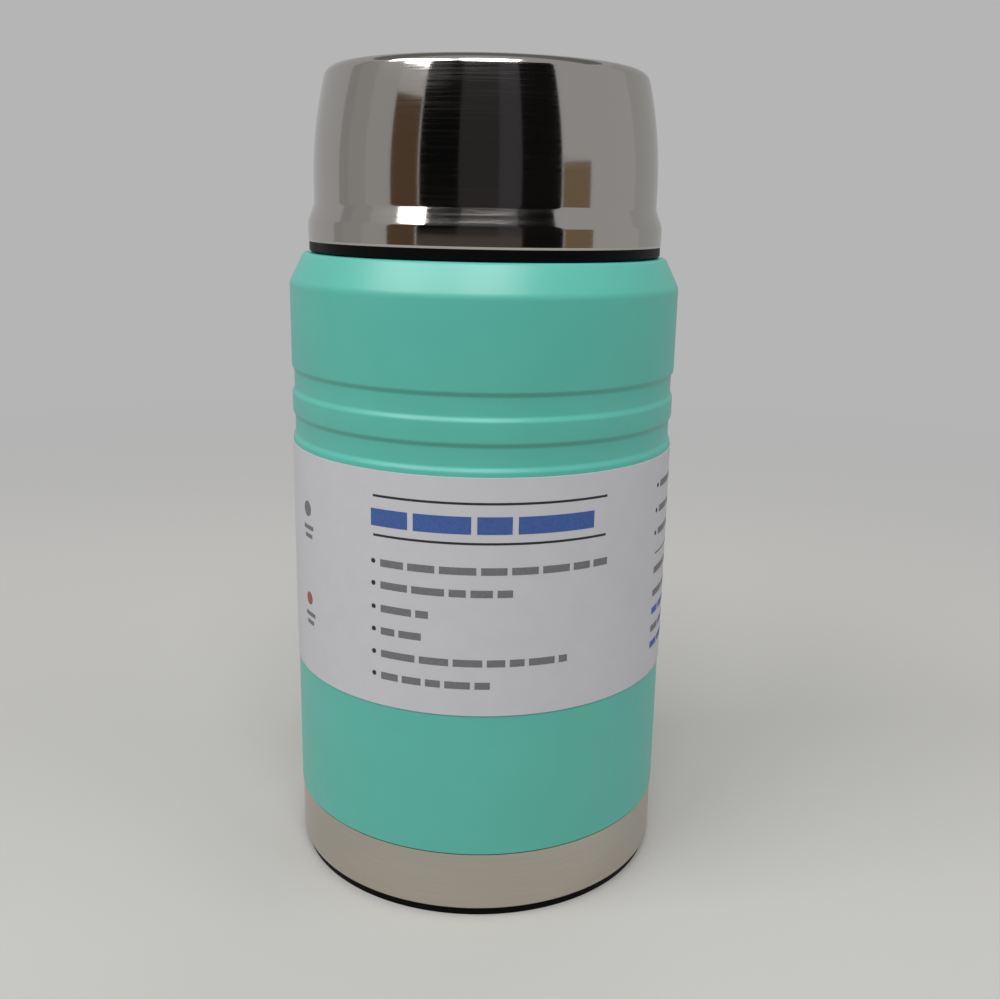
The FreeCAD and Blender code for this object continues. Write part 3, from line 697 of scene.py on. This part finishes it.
def print_dot(at_deg, z, radius):
    """A thin printed dot on the sleeve."""
    a = math.radians(at_deg - 90)
    r = SLEEVE_HIGH.x - PRINT_ROOT
    bpy.ops.object.select_all(action="DESELECT")
    bpy.ops.mesh.primitive_circle_add(vertices=20, radius=radius, fill_type="NGON",
                                      location=(r * math.cos(a), r * math.sin(a), z),
                                      rotation=(math.pi / 2, 0, a + math.pi / 2))
    dot = bpy.context.object
    bpy.ops.object.transform_apply(location=True, rotation=True, scale=True)
    bpy.ops.object.mode_set(mode="EDIT")
    bpy.ops.mesh.select_all(action="SELECT")
    bpy.ops.mesh.extrude_region_move(
        TRANSFORM_OT_translate={"value": (DOT_RISE * math.cos(a), DOT_RISE * math.sin(a), 0)})
    bpy.ops.mesh.select_all(action="SELECT")
    bpy.ops.mesh.normals_make_consistent(inside=False)
    bpy.ops.object.mode_set(mode="OBJECT")
    return dot


def text_line(rng, low_deg, high_deg, z, height):
    """A row of bars with small gaps, in place of a line of text."""
    bars = []
    at = low_deg
    while at < high_deg - SHORTEST_WORD:
        end = min(high_deg, at + rng.uniform(*WORD_LENGTHS))
        if high_deg - end < WORD_TAIL:
            end = high_deg
        bars.append(print_bar(at, end, z, height))
        at = end + WORD_GAP
    return bars


def print_front(s, bars, rng):
    """Two rules, a blue heading and six list rows on the front."""
    bars["black"] += [print_bar(*RULE_ENDS, z * MM, s.rule_width) for z in RULE_HEIGHTS]
    at = HEADING_LEFT
    filled = HEADING_WIDTH - (len(HEADING_SHARES) - 1) * HEADING_GAP
    for share in HEADING_SHARES:
        wide = filled * share
        bars["blue"].append(print_bar(at, at + wide, HEADING_Z * MM, s.heading_height))
        at += wide + HEADING_GAP
    for z, end in FRONT_ROWS:
        bars["black"].append(print_dot(FRONT_DOT, z * MM, s.dot_radius))
        bars["grey"] += text_line(rng, FRONT_TEXT, end, (z - FRONT_TEXT_DROP) * MM, s.line_height)


def print_side(s, bars, rng):
    """Three list rows, a thin rule and five more rows on the right side."""
    for z, end in SIDE_LIST_ROWS:
        bars["black"].append(print_dot(SIDE_DOT, z * MM, s.dot_radius))
        bars["grey"] += text_line(rng, SIDE_LIST_TEXT, end, z * MM, s.line_height)
    bars["black"].append(print_bar(*SIDE_RULE_ENDS, SIDE_RULE_Z * MM, SIDE_RULE_WIDTH))
    for z, end, ink in SIDE_ROWS:
        bars[ink] += text_line(rng, SIDE_TEXT, end, z * MM, s.line_height)


def print_marks(bars):
    """Two round marks on the left side, each with two short rows under it."""
    for ink, z, radius, rows in MARKS:
        bars[ink].append(print_dot(MARK_MIDDLE, z * MM, radius * MM))
        for row_z, half in rows:
            low, high = MARK_ROW_MIDDLE - half, MARK_ROW_MIDDLE + half
            bars["grey"].append(print_bar(low, high, row_z * MM, MARK_ROW_HEIGHT))


class FOODJAR_OT_sleeve(bpy.types.Operator):
    """Wrap the paper sleeve and print plain rules, bars and dots on it"""
    bl_idname = "foodjar.sleeve"
    bl_label = "Paper sleeve"

    def execute(self, context):
        s = context.scene.food_jar_sleeve
        inner = SLEEVE_HIGH.x - 0.2 * MM
        outer = SLEEVE_HIGH.x - 0.05 * MM
        low, high = SLEEVE_LOW.z, SLEEVE_HIGH.z
        edge = 0.04 * MM
        paper = turned("paper_sleeve", [
            (inner, low), (outer - edge, low), (outer, low + edge),
            (outer, high - edge), (outer - edge, high), (inner, high)])
        lap_root = outer - 0.01 * MM
        lap = outer + 0.04 * MM
        overlap = turned("overlap", [(lap_root, low), (lap, low), (lap, high), (lap_root, high)],
                         8, math.radians(80), math.radians(14))
        paper = join_pieces([paper, overlap], "paper_sleeve")
        dress(paper, sleeve_paper(s.paper[:]), ["paper_label"])
        rng = random.Random(s.seed)
        bars = {ink: [] for ink, _ in INKS}
        print_front(s, bars, rng)
        print_side(s, bars, rng)
        print_marks(bars)
        for ink, hex_colour in INKS:
            made = join_pieces(bars[ink], "print_" + ink)
            made.data.materials.clear()
            made.data.materials.append(printed_ink(ink + " offset ink", hex_colour))
            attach(made, "jar")
        return {"FINISHED"}


class FOODJAR_OT_stopper(bpy.types.Operator):
    """Dress the stopper, its foam and its seal"""
    bl_idname = "foodjar.stopper"
    bl_label = "Stopper"

    def execute(self, context):
        plastic = moulded_plastic()
        for node_name in ("stopper_housing", "stopper_cover"):
            carry_over(node_name, plastic)
        carry_over("stopper_foam", white_foam())
        carry_over("stopper_gasket", silicone_rubber())
        return {"FINISHED"}


def cup_profile(s):
    """Closed profile of the cup's steel wall, outside going up and inside coming down."""
    def face(inset):
        centre = (s.side_radius - s.bulge_radius, s.bulge_z)
        big = s.bulge_radius - inset
        small = s.corner_radius
        corner_z = CUP_HIGH.z - inset - small
        lift = corner_z - s.bulge_z
        turn = math.asin(lift / (big - small))
        corner_r = centre[0] + (big - small) * math.cos(turn)
        curl = 0.25 * MM
        skirt = rounded([
            (s.skirt_radius - curl - inset, CUP_LOW.z),
            (s.skirt_radius - inset, CUP_LOW.z + 2 * curl, curl),
            (s.skirt_radius - inset, s.step_low_z, 2.2 * MM),
            (s.side_radius - inset, s.step_high_z, 2.2 * MM),
            (s.side_radius - inset, s.bulge_z - 0.5 * MM),
        ], 3.0)
        side = arc_points(centre, big, 0, turn, 20)
        corner = arc_points((corner_r, corner_z), small, turn, math.pi / 2, 16)[1:]
        flat = [Vector((corner_r * k / 4, CUP_HIGH.z - inset)) for k in (3, 2, 1, 0)]
        return skirt + side + corner + flat
    return face(0) + face(s.wall)[::-1]


class FOODJAR_OT_cup(bpy.types.Operator):
    """Turn the steel cup and its rim ring and dress its inside"""
    bl_idname = "foodjar.cup"
    bl_label = "Cup"

    def execute(self, context):
        s = context.scene.food_jar_cup
        shell = turned("polished_cup", cup_profile(s), 240)
        dress(shell, polished_steel(s.steel[:]), ["cup_shell"])
        plastic = moulded_plastic()
        chamfer = 0.4 * MM
        inner = 42.7 * MM
        outer = RING_HIGH.x
        low, high = RING_LOW.z, RING_HIGH.z
        ring = turned("cup_ring", rounded([
            (inner, low), (outer - chamfer, low), (outer, low + chamfer, 0.3 * MM),
            (outer, high), (inner, high)]))
        # The rim ring is real black plastic, drawn darker and less glossy than the other mouldings as painted
        # shade for the gap under the cup
        shaded_ring_plastic = moulded_plastic("black moulded rim ring with painted shade", RING_PAINTED_SHADE_BLACK, RING_PAINTED_SHADE_GLOSS)
        dress(ring, shaded_ring_plastic, ["cup_rim_ring"], body="cup")
        carry_over("cup_liner", plastic)
        carry_over("cup_pad", white_foam())
        return {"FINISHED"}


class FOODJAR_OT_spoon(bpy.types.Operator):
    """Dress the folding spoon"""
    bl_idname = "foodjar.spoon"
    bl_label = "Folding spoon"

    def execute(self, context):
        steel = spoon_steel(linear("D3D0CB"))
        for node_name in ("spoon_bowl", "spoon_handle", "spoon_pin"):
            carry_over(node_name, steel)
        return {"FINISHED"}


# Studio

def reflection_card(name, low_deg, high_deg, low_z, high_z, hex_colour, near=0.95, far=0.96):
    """A curved card that the camera doesn't see, its ends in degrees from the front towards +X."""
    profile = [(near, low_z), (far, low_z), (far, high_z), (near, high_z)]
    card = turned(name, profile, 12, math.radians(low_deg - 90), math.radians(high_deg - low_deg))
    material = bpy.data.materials.new(name)
    material.use_nodes = True
    tree = material.node_tree
    tree.nodes.clear()
    light = add_node(tree, "Emission", {"Color": (*linear(hex_colour), 1), "Strength": 1.0})
    add_node(tree, "OutputMaterial", links={"Surface": light.outputs["Emission"]})
    card.data.materials.append(material)
    card.visible_camera = False
    card.visible_shadow = False
    card.visible_transmission = False
    card.visible_volume_scatter = False
    return card


def area_lamp(name, place, width, depth, watts):
    """A soft rectangular lamp that looks at the jar."""
    lamp = bpy.data.lights.new(name, "AREA")
    lamp.shape = "RECTANGLE"
    lamp.size = width
    lamp.size_y = depth
    lamp.energy = watts
    made = bpy.data.objects.new(name, lamp)
    made.location = place
    made.rotation_euler = (Vector(LAMP_AIM) - Vector(place)).to_track_quat("-Z", "Y").to_euler()
    bpy.context.scene.collection.objects.link(made)
    return made


def backdrop_world(colour):
    """A pale even world."""
    world = bpy.data.worlds.new("pale studio air")
    bpy.context.scene.world = world
    world.use_nodes = True
    tree = world.node_tree
    tree.nodes.clear()
    sky = add_node(tree, "Background", {"Color": (*colour, 1), "Strength": 1.0})
    add_node(tree, "OutputWorld", links={"Surface": sky.outputs["Background"]})


def studio_floor(colour, backdrop):
    """A wide matt floor that fades into the backdrop far from the jar."""
    bpy.ops.object.select_all(action="DESELECT")
    bpy.ops.mesh.primitive_circle_add(vertices=96, radius=FLOOR_RADIUS, fill_type="NGON", location=(0, 0, 0))
    floor = bpy.context.object
    floor.name = "studio_floor"
    material = bpy.data.materials.new("matt studio floor")
    material.use_nodes = True
    tree = material.node_tree
    shader = tree.nodes["Principled BSDF"]
    shader.inputs["Base Color"].default_value = (*colour, 1)
    shader.inputs["Roughness"].default_value = 0.85
    place = add_node(tree, "TexCoord")
    far = add_node(tree, "VectorMath", links={0: place.outputs["Object"]}, operation="LENGTH")
    fade = add_node(tree, "MapRange", {"From Min": FADE_START, "From Max": FADE_END},
                    {"Value": far.outputs["Value"]}, interpolation_type="SMOOTHSTEP")
    air = add_node(tree, "Emission", {"Color": (*backdrop, 1), "Strength": 1.0})
    both = add_node(tree, "MixShader", links={
        0: fade.outputs["Result"], 1: shader.outputs["BSDF"], 2: air.outputs["Emission"]})
    tree.links.new(both.outputs["Shader"], tree.nodes["Material Output"].inputs["Surface"])
    floor.data.materials.append(material)


def photo_camera(s):
    """The camera at the photograph's place, turned by its yaw, pitch and roll in radians."""
    yaw, pitch, roll = 0.0172, 0.2552, 0.0195
    ahead = Vector((math.sin(yaw) * math.cos(pitch), math.cos(yaw) * math.cos(pitch), -math.sin(pitch)))
    level = Vector((math.cos(yaw), -math.sin(yaw), 0))
    up = level.cross(ahead)
    right = level * math.cos(roll) + up * math.sin(roll)
    up = up * math.cos(roll) - level * math.sin(roll)
    data = bpy.data.cameras.new("photo_camera")
    data.sensor_width = 36
    data.lens = s.focal_length
    camera = bpy.data.objects.new("photo_camera", data)
    camera.matrix_world = Matrix((
        (right.x, up.x, -ahead.x, 0),
        (right.y, up.y, -ahead.y, -s.camera_distance),
        (right.z, up.z, -ahead.z, s.camera_height),
        (0, 0, 0, 1),
    ))
    bpy.context.scene.collection.objects.link(camera)
    bpy.context.scene.camera = camera


class FOODJAR_OT_studio(bpy.types.Operator):
    """Set the floor, the air, the lamps, the reflection cards and the camera"""
    bl_idname = "foodjar.studio"
    bl_label = "Studio"

    def execute(self, context):
        s = context.scene.food_jar_studio
        photo_camera(s)
        backdrop_world(s.backdrop[:])
        studio_floor(s.floor[:], s.backdrop[:])
        area_lamp("key_lamp", (0.03, -0.85, 1.2), 0.75, 0.5, s.key_power)
        area_lamp("left_lamp", (-0.9, -0.6, 1.2), 1.1, 0.6, s.left_power)
        right = area_lamp("right_lamp", (0.85, -0.35, 1.0), 0.8, 0.6, s.right_power)
        back = area_lamp("back_lamp", (0.45, 0.95, 1.1), 0.8, 0.6, s.back_power)
        right.visible_glossy = False
        back.visible_glossy = False
        for card in CARDS:
            reflection_card(*card)
        ceiling = reflection_card("ceiling card", 90, 270, 1.5, 1.51, "787878", 0, 1.3)
        ceiling.visible_diffuse = False
        context.scene.view_settings.view_transform = "Standard"
        return {"FINISHED"}


class FOODJAR_PT_panel(bpy.types.Panel):
    """Lists the jar's sizes, colours and build steps"""
    bl_idname = "FOODJAR_PT_panel"
    bl_label = "Food Jar"
    bl_space_type = "VIEW_3D"
    bl_region_type = "UI"
    bl_category = "Food Jar"

    def draw(self, context):
        for group, names in PANEL_ROWS:
            box = self.layout.box()
            settings = getattr(context.scene, group)
            for key in settings.bl_rna.properties.keys():
                if key not in ("rna_type", "name"):
                    box.prop(settings, key)
            for name in names:
                box.operator(name)


GROUPS = (
    ("food_jar_body", FoodJarBody),
    ("food_jar_cup", FoodJarCup),
    ("food_jar_sleeve", FoodJarSleeve),
    ("food_jar_studio", FoodJarStudio),
)
PANEL_ROWS = (
    ("food_jar_body", ("foodjar.body", "foodjar.vessel", "foodjar.stopper")),
    ("food_jar_cup", ("foodjar.cup", "foodjar.spoon")),
    ("food_jar_sleeve", ("foodjar.sleeve",)),
    ("food_jar_studio", ("foodjar.studio",)),
)
OPERATORS = (
    FOODJAR_OT_body,
    FOODJAR_OT_vessel,
    FOODJAR_OT_sleeve,
    FOODJAR_OT_stopper,
    FOODJAR_OT_cup,
    FOODJAR_OT_spoon,
    FOODJAR_OT_studio,
)


def register():
    """Registers the classes and hangs the settings on the scene."""
    for name, group in GROUPS:
        bpy.utils.register_class(group)
        setattr(bpy.types.Scene, name, PointerProperty(type=group))
    for operator in OPERATORS:
        bpy.utils.register_class(operator)
    bpy.utils.register_class(FOODJAR_PT_panel)


def unregister():
    """Takes the classes and the settings off again."""
    bpy.utils.unregister_class(FOODJAR_PT_panel)
    for operator in reversed(OPERATORS):
        bpy.utils.unregister_class(operator)
    for name, group in reversed(GROUPS):
        delattr(bpy.types.Scene, name)
        bpy.utils.unregister_class(group)


def main():
    """Builds every piece and the studio."""
    register()
    bpy.ops.foodjar.body()
    bpy.ops.foodjar.vessel()
    bpy.ops.foodjar.sleeve()
    bpy.ops.foodjar.stopper()
    bpy.ops.foodjar.cup()
    bpy.ops.foodjar.spoon()
    bpy.ops.foodjar.studio()


if __name__ == "__main__":
    main()
